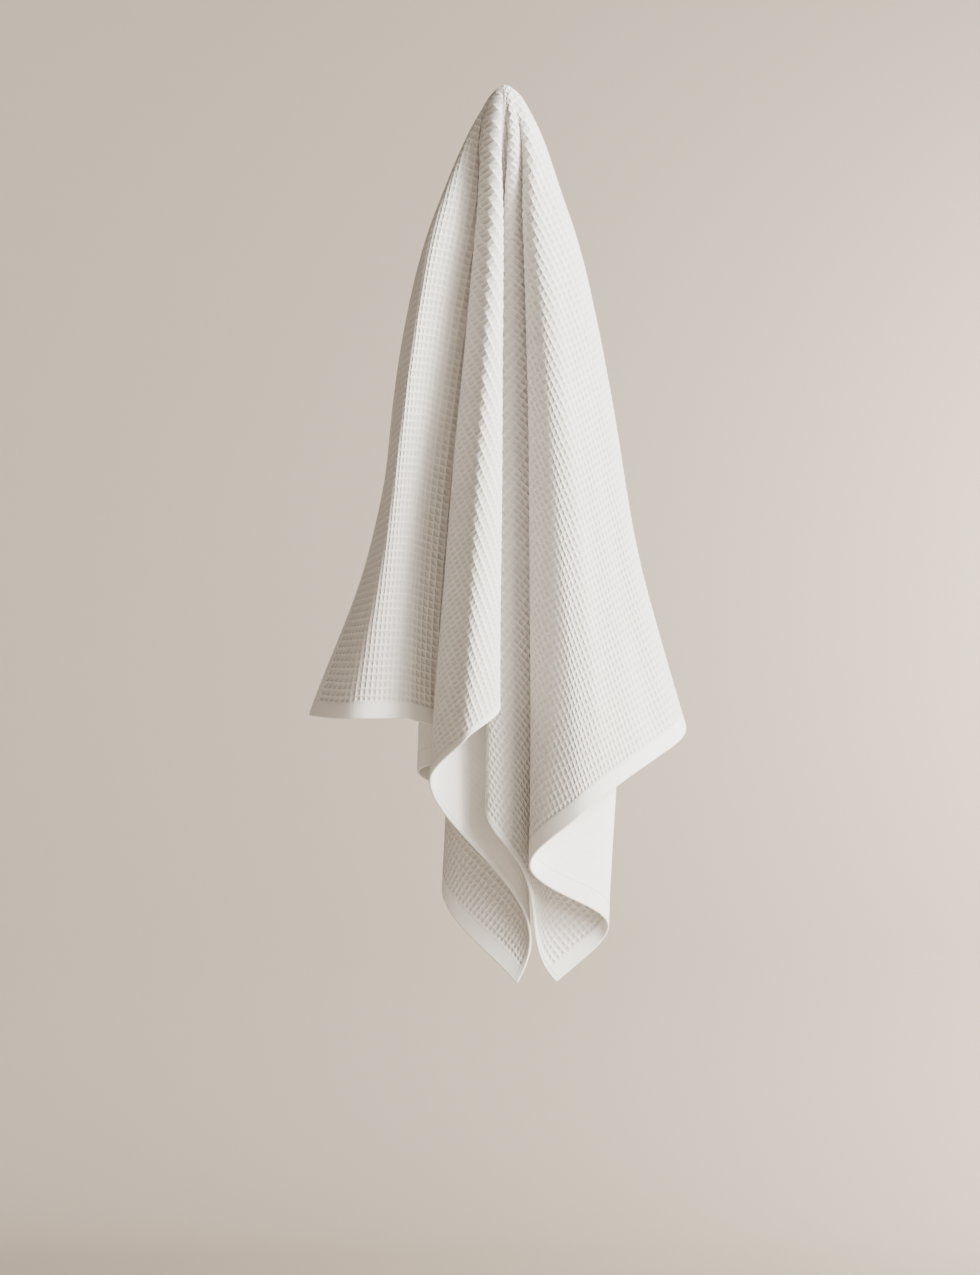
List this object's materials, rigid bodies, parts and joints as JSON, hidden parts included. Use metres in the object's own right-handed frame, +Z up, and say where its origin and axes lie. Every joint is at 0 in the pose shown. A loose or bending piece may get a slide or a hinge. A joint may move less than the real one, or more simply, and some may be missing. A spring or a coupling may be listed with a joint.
{
  "type": "waffle towel and wall hook",
  "caption": "Waffle weave hand towel hanging in long uneven folds from one point over the end of a plain wall peg.",
  "frame": {"origin": "middle of the rose's flat wall face", "axes": "+X to the right seen from the front, +Y into the wall, +Z up"},
  "size_m": [0.2893, 0.1433, 0.6886],
  "materials": {
    "cotton": "off-white cotton in a fine waffle weave, matt",
    "steel": "plain brushed steel"
  },
  "bodies": {
    "root": {"towel": "cotton", "peg": "steel", "rose": "steel"}
  },
  "joints": []
}
